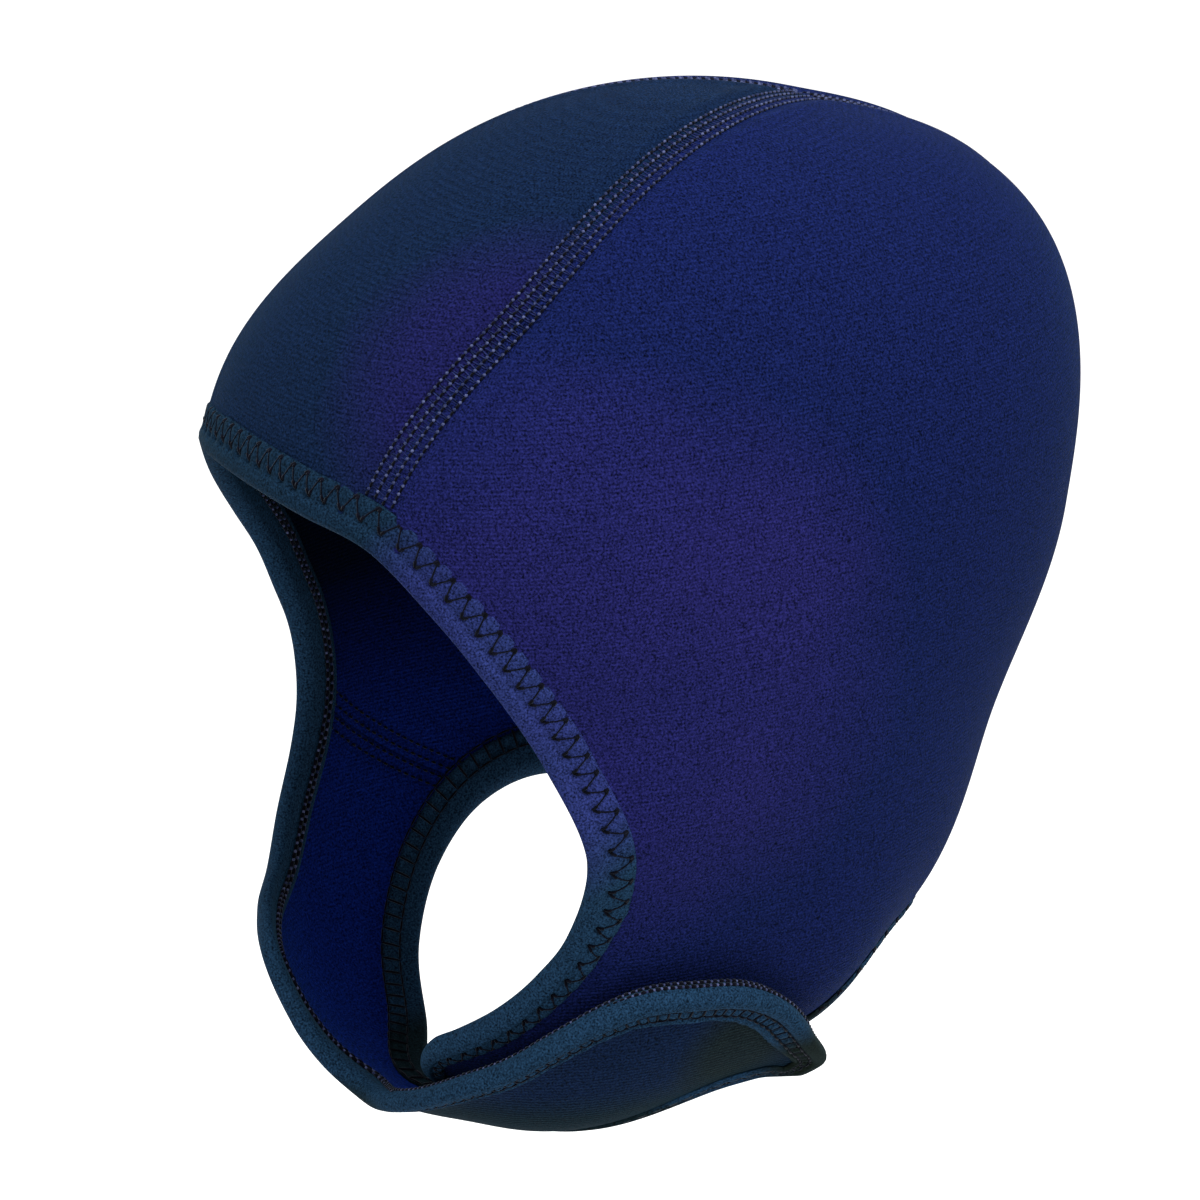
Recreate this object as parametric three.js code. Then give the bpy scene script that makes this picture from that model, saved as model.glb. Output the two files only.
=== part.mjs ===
// Neoprene surf cap with a chin strap, in its worn shape.
// Millimetres, +Z up, face toward -Y, wearer's left toward +X.
import * as THREE from "three";

// Cloth and tape
const WALL = 3; // neoprene, jersey on both faces
const TAPE = 0.9; // folded binding tape
const TAPE_GAP = 0.56; // air between the tape and the cloth that it folds over
const BUTT_GAP = 0.4; // air between two cloth edges that meet in a seam
const EDGE_INSET = 3.3; // from the outermost line of the tape to the cut edge of the cloth
const OUTER_LEG = 14.5; // tape on the outside of the cap, measured from its fold
const INNER_LEG = 10;
const LEG_SHARE = 0.4; // most of the local width of a tab or strap that one leg takes
const FOLD_SEPARATION = 24; // along the edge, beyond which the opposite side counts
const OUTER_ARC_STEPS = 5; // facets round the outside of the fold
const INNER_ARC_STEPS = 3;
const STATIONS_PER_CONTROL = 2; // tape sections for each control point of the edge

// Head form
const HALF_WIDTH = 76.5;
const FULLNESS = 2.3; // 2 is an ellipsoid, more is squarer
// Radius in the middle plane every 30 degrees, from the front over the crown to the nape and the chin
const MIDDLE_RADII = [93, 96, 93, 99, 109, 124, 110, 101.5, 118, 122, 138.5, 96];

// Strap tail over the left panel
const LAP = 7.6; // from the outside of the panel to the outside of the tail over it
const TAIL_TILT = new THREE.Vector3(0.52, 0.19, -0.413); // lift per mm along each axis
const TAIL_START = 54.2; // tilt value at which the tail leaves the head form
const LIFT_SOFTNESS = 2;
const LAP_HEIGHTS = [-42, -92]; // the panel follows the tail from none to fully between these heights
const LAP_DEPTHS = [52, 14]; // and between these distances behind the ears

// Crown strip
const STRIP_HALF_WIDTH = 43;
const WIDEST_ANGLE = 44; // in degrees from the front over the crown
const TAPER_ANGLE = 77; // from the widest place to the point behind the crown
const TAPER_POWER = 2.2;
const STRIP_END_ANGLE = 120.2; // where the strip is cut off, just before its point
const CORNER_BLEND = 8; // power that keeps the corner correction of an edge close to its corner
const CORNER_FADE = 4;

// Chin strap and the fastening between its tail and the panel, in shares of the strap's length and width
const STRAP_END_HALF = 0.45; // in control points, the blunt end inside the fold of the tape
const PATCH = { start: 0.72, end: 0.9, front: 0.34, back: 0.62, gap: 0.3 };

// Columns and rows of quads in each sheet
const QUADS = {
  crown_strip: [26, 10],
  left_side_panel: [28, 23],
  right_side_panel: [30, 15],
  chin_strap: [44, 7],
  fastening_patch: [10, 3],
};
const CURVE_SAMPLES = 80; // points that stand for a cut edge or a seam line
const TANGENT_STEP = 0.05; // in control points
const NORMAL_STEP = 0.5;

// Looks: navy jersey on the cloth, a lighter blue tape and a dark pad
const COLOURS = {
  crown_strip: 0x1b2358,
  left_side_panel: 0x1c1f5c,
  right_side_panel: 0x1c1f5c,
  chin_strap: 0x1a2456,
  edge_binding: 0x24407a,
  fastening_patch: 0x15182c,
};
const ROUGHNESS = 0.9;

// Outermost line of the edge as points that are projected to the head form.
// The runs follow one another round the loop with the cloth on their left.
const EDGE = {
  forehead: [[-39.5, -81, 24.5], [-21, -87, 28], [0, -88, 28], [21, -85, 26]],
  leftFace: [
    [39.5, -80, 22], [53, -73, 9], [60, -63, -7], [65, -53, -28], [69, -46, -50],
    [60, -47, -72], [53, -52, -83], [45, -58, -92], [35, -63, -98],
  ],
  leftNeckFront: [
    [28, -65, -101], [22, -64, -108], [18, -54, -115], [22, -38, -118], [30, -18, -118], [36, 2, -118],
  ],
  leftNeckBack: [[42, 20, -115], [44, 36, -107], [35, 50, -99], [18, 60, -92]],
  rightNeck: [[0, 63, -88], [-20, 60, -88], [-39, 49, -88], [-53, 33, -86], [-61, 15, -83]],
  strapBack: [
    [-61, -3, -87], [-56, -19, -99], [-44, -31, -113], [-27, -38, -124], [-6, -46, -127], [14, -40, -127],
    [30, -30, -126], [43, -18, -124], [49, -5, -122], [50, 6, -120], [48.5, 14, -119],
  ],
  strapFront: [
    [54.5, 20.5, -111], [62.5, 14.5, -103], [69.5, 5, -92.5], [72, -7, -85], [72, -20, -82], [71, -32, -82],
    [67, -42, -85], [60, -52, -92], [51, -59, -99], [39, -66, -106], [22, -70, -113], [1, -71, -119],
    [-9, -76, -115], [-19, -80, -107], [-26, -80.5, -96], [-40, -73, -88], [-50, -65, -83], [-59, -59, -74],
    [-65, -52, -62],
  ],
  rightFace: [[-68, -49, -52], [-68, -49, -40], [-65, -54, -23], [-64, -60, -9], [-52, -71, 11]],
};

const radians = THREE.MathUtils.degToRad;
const smooth = (from, to, x) => {
  const t = THREE.MathUtils.clamp((x - from) / (to - from), 0, 1);
  return t * t * (3 - 2 * t);
};

// Middle-plane radius at an angle from the front, in radians
function middleRadius(angle) {
  const count = MIDDLE_RADII.length;
  const place = (THREE.MathUtils.euclideanModulo(angle, 2 * Math.PI) / (2 * Math.PI)) * count;
  const i = Math.floor(place);
  const f = place - i;
  const [a, b, c, d] = [-1, 0, 1, 2].map((k) => MIDDLE_RADII[(i + k + count) % count]);
  const square = 2 * a - 5 * b + 4 * c - d;
  const cube = 3 * b - a - 3 * c + d;
  return 0.5 * (2 * b + (c - a) * f + square * f ** 2 + cube * f ** 3);
}

// Point of the head form, grown by depth, in the direction of p
function onForm(p, depth = 0) {
  const dir = p.clone().normalize();
  const radius = middleRadius(Math.atan2(dir.z, -dir.y)) + depth;
  const across = (Math.abs(dir.x) / (HALF_WIDTH + depth)) ** FULLNESS;
  const along = (Math.hypot(dir.y, dir.z) / radius) ** FULLNESS;
  return dir.multiplyScalar((across + along) ** (-1 / FULLNESS));
}

// How far the outside of each piece stands off the head form at a point p of the form
const noLift = () => 0;
const softRamp = (x) => LIFT_SOFTNESS * Math.log1p(Math.exp(x / LIFT_SOFTNESS));
const tailLift = (p) => softRamp(p.dot(TAIL_TILT) - TAIL_START);
const underTail = (p) => smooth(...LAP_HEIGHTS, p.z) * smooth(...LAP_DEPTHS, p.y);
const leftLift = (p) => underTail(p) * (tailLift(p) - LAP);

// Point of a piece: depth is measured outward from its outside face
const onPiece = (p, lift, depth = 0) => onForm(p, lift(onForm(p)) + depth);

// Point of the form at a distance x from the middle plane and an angle from the front
function atAngle(x, angle) {
  const rest = (1 - (Math.abs(x) / HALF_WIDTH) ** FULLNESS) ** (1 / FULLNESS);
  const rho = middleRadius(angle) * rest;
  return new THREE.Vector3(x, -rho * Math.cos(angle), rho * Math.sin(angle));
}

// Centripetal curve through four points, from b to c
function between(a, b, c, d, f) {
  const knots = [0];
  [[a, b], [b, c], [c, d]].forEach(([p, q]) => knots.push(knots.at(-1) + Math.sqrt(p.distanceTo(q))));
  const [t0, t1, t2, t3] = knots;
  const t = THREE.MathUtils.lerp(t1, t2, f);
  const mix = (p, q, from, to) => p.clone().lerp(q, (t - from) / (to - from));
  const ab = mix(a, b, t0, t1);
  const bc = mix(b, c, t1, t2);
  const cd = mix(c, d, t2, t3);
  return mix(mix(ab, bc, t0, t2), mix(bc, cd, t1, t3), t1, t2);
}

// The whole edge as one closed loop of control points, with the index at which each run starts
const LIFTS = {
  forehead: noLift,
  leftFace: leftLift,
  leftNeckFront: leftLift,
  leftNeckBack: leftLift,
  rightNeck: noLift,
  strapBack: tailLift,
  strapFront: tailLift,
  rightFace: noLift,
};
const control = [];
const controlLift = [];
const start = {};
for (const [name, rows] of Object.entries(EDGE)) {
  start[name] = control.length;
  for (const row of rows) {
    control.push(new THREE.Vector3(...row));
    controlLift.push(LIFTS[name]);
  }
}
const COUNT = control.length;
const wrap = (i) => THREE.MathUtils.euclideanModulo(i, COUNT);
const liftAt = (place) => controlLift[Math.floor(wrap(place) + 1e-6) % COUNT];

// Point of the edge at a place counted in control points, before it is projected
function edgeControl(place) {
  const i = Math.floor(place + 1e-9);
  return between(...[-1, 0, 1, 2].map((k) => control[wrap(i + k)]), place - i);
}

// Frame of the edge: the point on the cap, the way out of the cloth face and the way into the cloth
function edgeFrame(place) {
  const lift = liftAt(place);
  const point = onPiece(edgeControl(place), lift);
  const ahead = onPiece(edgeControl(place + TANGENT_STEP), lift);
  const behind = onPiece(edgeControl(place - TANGENT_STEP), lift);
  const tangent = ahead.sub(behind).normalize();
  const out = faceNormal(point, lift);
  const inward = out.clone().cross(tangent).normalize();
  return { point, out, inward, lift };
}

// Outward normal of a piece near a point
function faceNormal(point, lift) {
  const side = new THREE.Vector3(point.y, -point.x, 0).normalize();
  const up = side.clone().cross(point).normalize();
  const probe = (v, sign) => onPiece(point.clone().addScaledVector(v, sign * NORMAL_STEP), lift);
  const [acrossCap, upCap] = [side, up].map((v) => probe(v, 1).sub(probe(v, -1)));
  const normal = acrossCap.cross(upCap).normalize();
  return normal.dot(point) < 0 ? normal.negate() : normal;
}

// Point s mm from the edge toward the cloth
const inFrom = (frame, s) => frame.point.clone().addScaledVector(frame.inward, s);

// Cut edge of the cloth between two places, as a function of the share of its length
function cutEdge(from, to) {
  const points = [];
  for (let i = 0; i <= CURVE_SAMPLES; i++) {
    const place = THREE.MathUtils.lerp(from, to, i / CURVE_SAMPLES);
    points.push(inFrom(edgeFrame(place), EDGE_INSET));
  }
  return byLength(points);
}

// Turns a list of points into a function of the share of its length
function byLength(points) {
  const lengths = [0];
  points.slice(1).forEach((p, i) => lengths.push(lengths[i] + p.distanceTo(points[i])));
  const total = lengths.at(-1);
  return (share) => {
    const want = THREE.MathUtils.clamp(share, 0, 1) * total;
    let i = 1;
    while (i < points.length - 1 && lengths[i] < want) i++;
    const f = (want - lengths[i - 1]) / Math.max(lengths[i] - lengths[i - 1], 1e-9);
    return points[i - 1].clone().lerp(points[i], f);
  };
}

// Half width of the crown strip at an angle in degrees
function stripHalfWidth(degrees) {
  const taper = Math.min(Math.abs(degrees - WIDEST_ANGLE) / TAPER_ANGLE, 1);
  return STRIP_HALF_WIDTH * (1 - taper ** TAPER_POWER);
}

// Angle of a point round the middle plane, from the front over the crown
const angleOf = (p) => THREE.MathUtils.euclideanModulo(Math.atan2(p.z, -p.y), 2 * Math.PI);

// Line beside the seam between crown strip and side panel; side is 1 for left and -1 for right
function seamLine(side, clearance, fromAngle, toAngle) {
  const points = [];
  for (let i = 0; i <= CURVE_SAMPLES; i++) {
    const angle = THREE.MathUtils.lerp(fromAngle, toAngle, i / CURVE_SAMPLES);
    const fromMiddle = stripHalfWidth(THREE.MathUtils.radToDeg(angle)) + clearance;
    points.push(atAngle(side * fromMiddle, angle));
  }
  return byLength(points);
}

// Patch between four edge curves that share their corners
function coons(top, bottom, left, right) {
  return (u, v) => {
    const p = top(u).lerp(bottom(u), v);
    p.add(left(v).lerp(right(v), u));
    const topCorners = top(0).lerp(top(1), u);
    const bottomCorners = bottom(0).lerp(bottom(1), u);
    return p.sub(topCorners.lerp(bottomCorners, v));
  };
}

// Strip between two edge curves
const ruled = (front, back) => (u, v) => front(u).lerp(back(u), v);

// Closed sheet over a patch, between two depths from the outside face of its piece
function sheet(name, patch, lift, outer = 0, inner = -WALL) {
  const [columns, rows] = QUADS[name];
  const grid = (depth) => {
    const points = [];
    for (let j = 0; j <= rows; j++)
      for (let i = 0; i <= columns; i++) points.push(onPiece(patch(i / columns, j / rows), lift, depth));
    return points;
  };
  const outside = grid(outer);
  const points = [...outside, ...grid(inner)];
  const half = outside.length;
  const at = (i, j) => j * (columns + 1) + i;
  const faces = [];
  const quad = (a, b, c, d) => faces.push(a, b, c, a, c, d);
  for (let j = 0; j < rows; j++)
    for (let i = 0; i < columns; i++) {
      quad(at(i, j), at(i, j + 1), at(i + 1, j + 1), at(i + 1, j));
      quad(half + at(i, j), half + at(i + 1, j), half + at(i + 1, j + 1), half + at(i, j + 1));
    }
  const rim = [];
  for (let i = 0; i < columns; i++) rim.push(at(i, 0));
  for (let j = 0; j < rows; j++) rim.push(at(columns, j));
  for (let i = columns; i > 0; i--) rim.push(at(i, rows));
  for (let j = rows; j > 0; j--) rim.push(at(0, j));
  rim.forEach((a, k) => {
    const b = rim[(k + 1) % rim.length];
    quad(a, b, half + b, half + a);
  });
  return solid(name, points, faces);
}

// Named mesh from points and triangles, turned to face outward
function solid(name, points, faces) {
  let volume = 0;
  for (let i = 0; i < faces.length; i += 3) {
    const [a, b, c] = [0, 1, 2].map((k) => points[faces[i + k]]);
    volume += a.dot(b.clone().cross(c));
  }
  if (volume < 0) faces.reverse();
  const geometry = new THREE.BufferGeometry().setFromPoints(points).setIndex(faces);
  geometry.computeVertexNormals();
  const color = COLOURS[name];
  const material = new THREE.MeshStandardMaterial({ color, roughness: ROUGHNESS, metalness: 0 });
  const mesh = new THREE.Mesh(geometry, material);
  mesh.name = name;
  return mesh;
}

// Crown strip: the gusset over the middle of the head, widest at the forehead and pointed behind the crown
function crownStrip() {
  const front = cutEdge(start.forehead, start.leftFace);
  const right = seamLine(-1, -BUTT_GAP / 2, angleOf(front(0)), radians(STRIP_END_ANGLE));
  const left = seamLine(1, -BUTT_GAP / 2, angleOf(front(1)), radians(STRIP_END_ANGLE));
  const end = (v) => right(1).lerp(left(1), v);
  const nearCorner = (v) => Math.abs(2 * v - 1) ** CORNER_BLEND;
  const face = (v) => front(v).lerp(right(0).lerp(left(0), v), nearCorner(v));
  return sheet("crown_strip", coons(right, left, face, end), noLift);
}

// Left side panel, with the chin tab that ends under the strap
function leftSidePanel() {
  const face = cutEdge(start.leftFace, start.leftNeckFront);
  const neckFront = cutEdge(start.leftNeckFront, start.leftNeckBack);
  const neckBack = cutEdge(start.rightNeck, start.leftNeckBack);
  const seam = seamLine(1, BUTT_GAP / 2, angleOf(face(0)), angleOf(neckBack(0)));
  const left = byLengthFrom(seam(0), face);
  const right = byLengthFrom(seam(1), neckBack);
  return sheet("left_side_panel", coons(seam, neckFront, left, right), leftLift);
}

// Right side panel, cut off at the seam where the chin strap begins
function rightSidePanel() {
  const face = cutEdge(COUNT, start.rightFace);
  const neck = cutEdge(start.rightNeck, start.strapBack);
  const seam = seamLine(-1, BUTT_GAP / 2, angleOf(face(0)), angleOf(neck(0)));
  const left = byLengthFrom(seam(0), face);
  const right = byLengthFrom(seam(1), neck);
  const chinSeam = (u) => left(1).lerp(right(1), u);
  return sheet("right_side_panel", coons(seam, chinSeam, left, right), noLift);
}

// The same curve with its first point moved to a given corner
function byLengthFrom(corner, curve) {
  const shift = corner.clone().sub(curve(0));
  return (share) => curve(share).addScaledVector(shift, (1 - share) ** CORNER_FADE);
}

// Chin strap between its front edge and its back edge, from the seam on the right panel to its rounded end
function strapPatch() {
  const tip = start.strapFront - 0.5;
  const front = cutEdge(start.rightFace, tip + STRAP_END_HALF);
  const back = cutEdge(start.strapBack, tip - STRAP_END_HALF);
  const room = BUTT_GAP / front(0).distanceTo(front(1));
  return ruled((u) => front(Math.max(u, room)), (u) => back(Math.max(u, room)));
}

function chinStrap() {
  return sheet("chin_strap", strapPatch(), tailLift);
}

// Hook and loop between the tail and the left panel, one plain pad
function fasteningPatch() {
  const strap = strapPatch();
  const { start: from, end: to, front, back, gap } = PATCH;
  const { lerp } = THREE.MathUtils;
  const patch = (u, v) => strap(lerp(from, to, u), lerp(front, back, v));
  return sheet("fastening_patch", patch, tailLift, -WALL - gap, -LAP + gap);
}

// How long the tape's legs can be at a place, so that the tape of one side never meets that of the other
function legLimit(points, lengths, i) {
  const total = lengths.at(-1);
  let nearest = Infinity;
  points.forEach((p, j) => {
    const along = Math.abs(lengths[i] - lengths[j]);
    const isOpposite = Math.min(along, total - along) > FOLD_SEPARATION;
    if (isOpposite) nearest = Math.min(nearest, p.distanceTo(points[i]));
  });
  return LEG_SHARE * nearest;
}

// Section of the tape folded over the edge: s in from the fold, h out from the middle of the cloth
function tapeSection(limit) {
  const outside = WALL / 2 + TAPE_GAP + TAPE;
  const inside = outside - TAPE;
  const long = Math.min(OUTER_LEG, limit);
  const short = Math.min(INNER_LEG, limit);
  const arc = (r, steps) =>
    Array.from({ length: steps + 1 }, (_, k) => {
      const a = Math.PI / 2 - (Math.PI * k) / steps;
      return [outside - r * Math.cos(a), r * Math.sin(a)];
    });
  const mid = (leg) => (leg + outside) / 2;
  return [
    [long, outside], [mid(long), outside], ...arc(outside, OUTER_ARC_STEPS), [short, -outside],
    [short, -inside], ...arc(inside, INNER_ARC_STEPS).reverse(), [mid(long), inside], [long, inside],
  ];
}

// Binding tape along the whole edge of the cap and strap, one closed loop
function edgeBinding() {
  const stations = COUNT * STATIONS_PER_CONTROL;
  const frames = Array.from({ length: stations }, (_, i) => edgeFrame(i / STATIONS_PER_CONTROL));
  const points = frames.map((f) => f.point);
  const lengths = [0];
  points.forEach((p, i) => lengths.push(lengths[i] + p.distanceTo(points[(i + 1) % stations])));
  const vertices = [];
  frames.forEach((frame, i) => {
    for (const [s, h] of tapeSection(legLimit(points, lengths, i)))
      vertices.push(onPiece(inFrom(frame, s), frame.lift, h - WALL / 2));
  });
  const ring = vertices.length / frames.length;
  const faces = [];
  frames.forEach((_, i) => {
    const next = (i + 1) % frames.length;
    for (let k = 0; k < ring; k++) {
      const [a, b] = [i * ring + k, i * ring + ((k + 1) % ring)];
      const [c, d] = [next * ring + ((k + 1) % ring), next * ring + k];
      faces.push(a, b, c, a, c, d);
    }
  });
  return solid("edge_binding", vertices, faces);
}

// The origin is where the top of the head meets the inside of the cap
const shell = new THREE.Group();
shell.position.z = WALL - middleRadius(Math.PI / 2);
shell.add(crownStrip(), leftSidePanel(), rightSidePanel());
shell.add(chinStrap(), fasteningPatch(), edgeBinding());

const cap = new THREE.Group();
cap.add(shell);

export default cap;
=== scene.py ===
"""Neoprene surf cap: cloth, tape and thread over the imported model, framed as in the photograph."""
import math

import bpy
import numpy as np
from mathutils import Matrix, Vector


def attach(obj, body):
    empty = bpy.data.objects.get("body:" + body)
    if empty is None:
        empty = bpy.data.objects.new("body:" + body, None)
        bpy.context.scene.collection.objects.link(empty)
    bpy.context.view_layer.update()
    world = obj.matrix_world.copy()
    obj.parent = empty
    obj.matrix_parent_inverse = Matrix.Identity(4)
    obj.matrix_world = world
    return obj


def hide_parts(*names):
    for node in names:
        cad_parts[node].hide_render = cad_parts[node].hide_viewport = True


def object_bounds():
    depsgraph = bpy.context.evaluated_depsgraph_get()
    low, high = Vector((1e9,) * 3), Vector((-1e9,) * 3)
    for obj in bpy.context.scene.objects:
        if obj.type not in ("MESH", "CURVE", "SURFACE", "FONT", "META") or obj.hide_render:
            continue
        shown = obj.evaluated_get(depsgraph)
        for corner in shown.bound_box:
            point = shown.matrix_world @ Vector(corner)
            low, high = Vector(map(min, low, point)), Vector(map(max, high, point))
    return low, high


MM = 0.001
TINY = 1e-6  # keeps rounding out of floors and directions

# Cloth and tape, in millimetres
WALL = 3.0
TAPE = 0.8
TAPE_LIFT = 0.08  # air between the tape and the cloth
FOLD_RADIUS = WALL / 2 + TAPE + TAPE_LIFT
EDGE_INSET = 3.3  # from the tape's fold to the cut edge of the cloth
OUTER_LEG = 14.2  # how far the tape reaches from its fold, outside and inside
INNER_LEG = 10.0
LEG_SHARE = 0.4  # of the way to another stretch of the edge, which a leg may take
FOLD_SEPARATION = 24.0  # length of edge between two stretches
LIMIT_STEP = 2.0  # spacing of the places where it is measured
STATION_STEP = 0.75  # spacing of the tape's sections
SECTION_POINTS = {"outer leg": 24, "fold": 12, "inner leg": 11, "inside": 7}

# Head form, in millimetres
HALF_WIDTH = 76.5
FULLNESS = 2.3  # exponent of its sections across: 2 is an ellipse
# Radii in its middle plane, every 30 degrees from the front over the crown
MIDDLE_RADII = np.array([93, 96, 93, 99, 109, 124, 110, 101.5, 118, 122, 138.5, 96], float)
FORM_RISE = WALL - MIDDLE_RADII[3]  # height of its middle in the frame: the head's top is at 0

# Strap tail over the left panel, in millimetres
LAP = 7.6  # from the tail's outer face to that of the left panel under it
TAIL_TILT = np.array([0.52, 0.19, -0.413])  # how fast the tail leaves the form along x, y and z
TAIL_START = 54.2
LIFT_SOFTNESS = 2.0
LAP_HEIGHTS = (-42, -92)  # the panel goes under the tail over these values of z and of y
LAP_DEPTHS = (52, 14)
LIP_REACH = 11.0  # how far from its front edge the strap curls outward
LIP_LIFT = 3.0
LIP_FADE = (-30, 20)  # the lip grows from the first of these values of x to the second
LIP_CONTROLS = 13  # control points of the strap's front edge that the lip follows

# Crown strip, in millimetres, with angles in degrees from the front over the crown
STRIP_HALF_WIDTH = 43.0
WIDEST_ANGLE = 44.0
TAPER_ANGLE = 77.0  # from the widest place to the point behind the crown
TAPER_POWER = 2.2
STRIP_END_ANGLE = 120.2
BACK_END_ANGLE = 229.0  # where the seam behind the crown strip goes under the tape
RELIEF_ANGLE = 12.0  # before the cloth begins
STITCH_ANGLE = 22.0  # under the tape
CORNER_BLEND = 8  # how late the strip's front edge leaves the tape for its corners
CORNER_FADE = 4  # how fast a moved corner's shift fades along its edge
STRAP_END_HALF = 0.45  # half of the strap's rounded end, in control points of the edge
PATCH = {"from": 0.72, "to": 0.9, "front": 0.34, "back": 0.62, "gap": 0.3}

# Cloth: columns and rows of each mesh, and its width, length and area as it is cut, in metres
CLOTH = {
    "crown_cloth": ((170, 90), (0.089, 0.171), 0.0109),
    "left_cloth": ((210, 180), (0.225, 0.298), 0.0424),
    "right_cloth": ((210, 120), (0.229, 0.3), 0.037),
    "strap_cloth": ((260, 34), (0.054, 0.27), 0.008),
    "hook_and_loop": ((60, 24), (0.014, 0.048), None),
    "folded_tape": (None, (0.025, 1.105), None),
}

# Samples and steps of the lines
EDGE_SAMPLES = 240
SEAM_SAMPLES = 300
CHIN_SAMPLES = 60
TABLE_STEP = 0.02  # of the tape's table, in control points of the edge
PLACE_STEP = 0.05  # for the direction of the edge, in its control points
SLOPE_STEP = 0.5  # for the slope of the cloth, in millimetres
TANGENT_STEP = 0.004  # for the direction of a seam, as a share of it
CHUNK = 4000  # points whose distances are worked out at once

# Relief, in millimetres: bells are (height, width)
SEAM_BAND = 4.8  # half width of a flatlock seam
SEAM_SINK = 0.55
SEAM_SLOPE = (-1.2, 1.5)  # the sunk band ends between these distances from its half width
PUFF_LINE, PUFF = 2.5, (0.35, 2.2)  # beside the band
WAVE_HEIGHT, WAVE_SHIFT = 0.25, 1.3
WAVE_LENGTHS = (17, 23, 19)

# Stitches of the seams, in millimetres
STITCH_ROWS = (-3.4, -1.15, 1.15, 3.4)
STITCH_PITCH = 2.0
STITCH_LENGTH = 1.3
STITCH_ARCH = 0.15
ROW_SHIFT = 0.5  # how much later the stitches of every second row come
SPECK_LENGTH = 0.7  # light thread that shows between two stitches
LOOPER_HALF = 4.0  # half width of the thread that crosses the seam
STITCH_RISE, SPECK_RISE, LOOPER_RISE = 0.12, 0.26, 0.05  # above the sunk cloth
LINING_DEPTH = WALL - 0.1

# Stitches of the tape, in millimetres, with spans and lines counted from its fold
ZIGZAG_PITCH = 4.7
ZIGZAG_SPAN = (6.2, 13.4)  # needle lines of the zigzag
OUTER_DIMPLE = (0.75, 1.0, 1.2)  # depth, width along the edge and across it
INNER_DIMPLE = (0.65, 1.1, 1.3)
ZIGZAG_GROOVE, ZIGZAG_FADE = (0.3, 0.55), 1.0
ZIGZAG_THREADS = {  # first and last share of a leg, and rise
    "zigzag_legs": (0.3, 0.9, 0.1),
    "zigzag_outer_needles": (0.0, 0.34, 0.12),
    "zigzag_inner_needles": (0.82, 1.0, 0.15),
}
LADDER_PITCH = 3.4
LADDER_SPAN = (5.8, 10.6)
RUNG_GROOVE, RUNG_FADE = (0.7, 0.6), 0.8
RAIL_GROOVE = (0.65, 0.7)
RAIL_LENGTH, RAIL_SHIFT = 3.2, 1.7
LADDER_RISE = 0.3  # ladder thread above the groove that it pulls into the tape
INSIDE_RUNG_RISE, INSIDE_RUNG_ARCH = 0.15, 0.1
INSIDE_RISE = 0.1  # of rails and chain inside
CHAIN_LINES = (6.2, 7.6)  # the stitch's underside beside the fold, inside cap and strap
CHAIN_PITCH = 1.9
CHAIN_LENGTHS = {"dark": 1.5, "light": 0.6}
CHAIN_TURN_UP = 6.4  # how far towards the fold the chain moves on the strap's lip
STRAP_FADE = 4.0  # length along the edge over which the zigzag turns into the ladder
LIP_START_FADE, LIP_END_FADE = 8.0, 25.0  # the same for the chain that turns up

# Face of the tape, in millimetres: its roll beside the fold and its ends tucked in
ROLL_LINE, ROLL = 3.2, (0.35, 1.7)
ROLL_TURN, ROUND_FOLD = 0.35, (0.35, 0.8)  # turn and width in radians
OUTER_TUCK, OUTER_TUCK_LENGTH = 0.55, 1.6
INNER_TUCK, INNER_TUCK_LENGTH = 0.5, 1.5
CREASE = (0.35, 1.1)  # under the chain

# Threads, in millimetres
# Points along each thread, for the looper per pitch
PATH_POINTS = {"zigzag": 8, "rung": 6, "running": 5, "seam": 4, "looper": 6}
THREAD_SIDES = 5
THREAD_END = 0.35  # radius of a thread's ends, as a share of its own
THREAD_RADII = {
    "zigzag_legs": 0.2, "zigzag_outer_needles": 0.4, "zigzag_inner_needles": 0.46,
    "ladder_rungs": 0.3, "ladder_rails": 0.26, "chain_dark": 0.5, "chain_light": 0.36,
    "stitches": 0.33, "specks": 0.36, "looper": 0.17,
}

# Outermost line of the edge, run by run, with the cloth on its left
EDGE = {
    "forehead": [[-39.5, -81, 24.5], [-21, -87, 28], [0, -88, 28], [21, -85, 26]],
    "leftFace": [
        [39.5, -80, 22], [53, -73, 9], [60, -63, -7], [65, -53, -28], [69, -46, -50],
        [60, -47, -72], [53, -52, -83], [45, -58, -92], [35, -63, -98],
    ],
    "leftNeckFront": [
        [28, -65, -101], [22, -64, -108], [18, -54, -115],
        [22, -38, -118], [30, -18, -118], [36, 2, -118],
    ],
    "leftNeckBack": [[42, 20, -115], [44, 36, -107], [35, 50, -99], [18, 60, -92]],
    "rightNeck": [[0, 63, -88], [-20, 60, -88], [-39, 49, -88], [-53, 33, -86], [-61, 15, -83]],
    "strapBack": [
        [-61, -3, -87], [-56, -19, -99], [-44, -31, -113], [-27, -38, -124],
        [-6, -46, -127], [14, -40, -127], [30, -30, -126], [43, -18, -124],
        [49, -5, -122], [50, 6, -120], [48.5, 14, -119],
    ],
    "strapFront": [
        [54.5, 20.5, -111], [62.5, 14.5, -103], [69.5, 5, -92.5], [72, -7, -85],
        [72, -20, -82], [71, -32, -82], [67, -42, -85], [60, -52, -92],
        [51, -59, -99], [39, -66, -106], [22, -70, -113], [1, -71, -119],
        [-9, -76, -115], [-19, -80, -107], [-26, -80.5, -96], [-40, -73, -88],
        [-50, -65, -83], [-59, -59, -74], [-65, -52, -62],
    ],
    "rightFace": [[-68, -49, -52], [-68, -49, -40], [-65, -54, -23], [-64, -60, -9], [-52, -71, 11]],
}
CONTROL = np.array([point for run in EDGE.values() for point in run], float)
COUNT = len(CONTROL)
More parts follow.
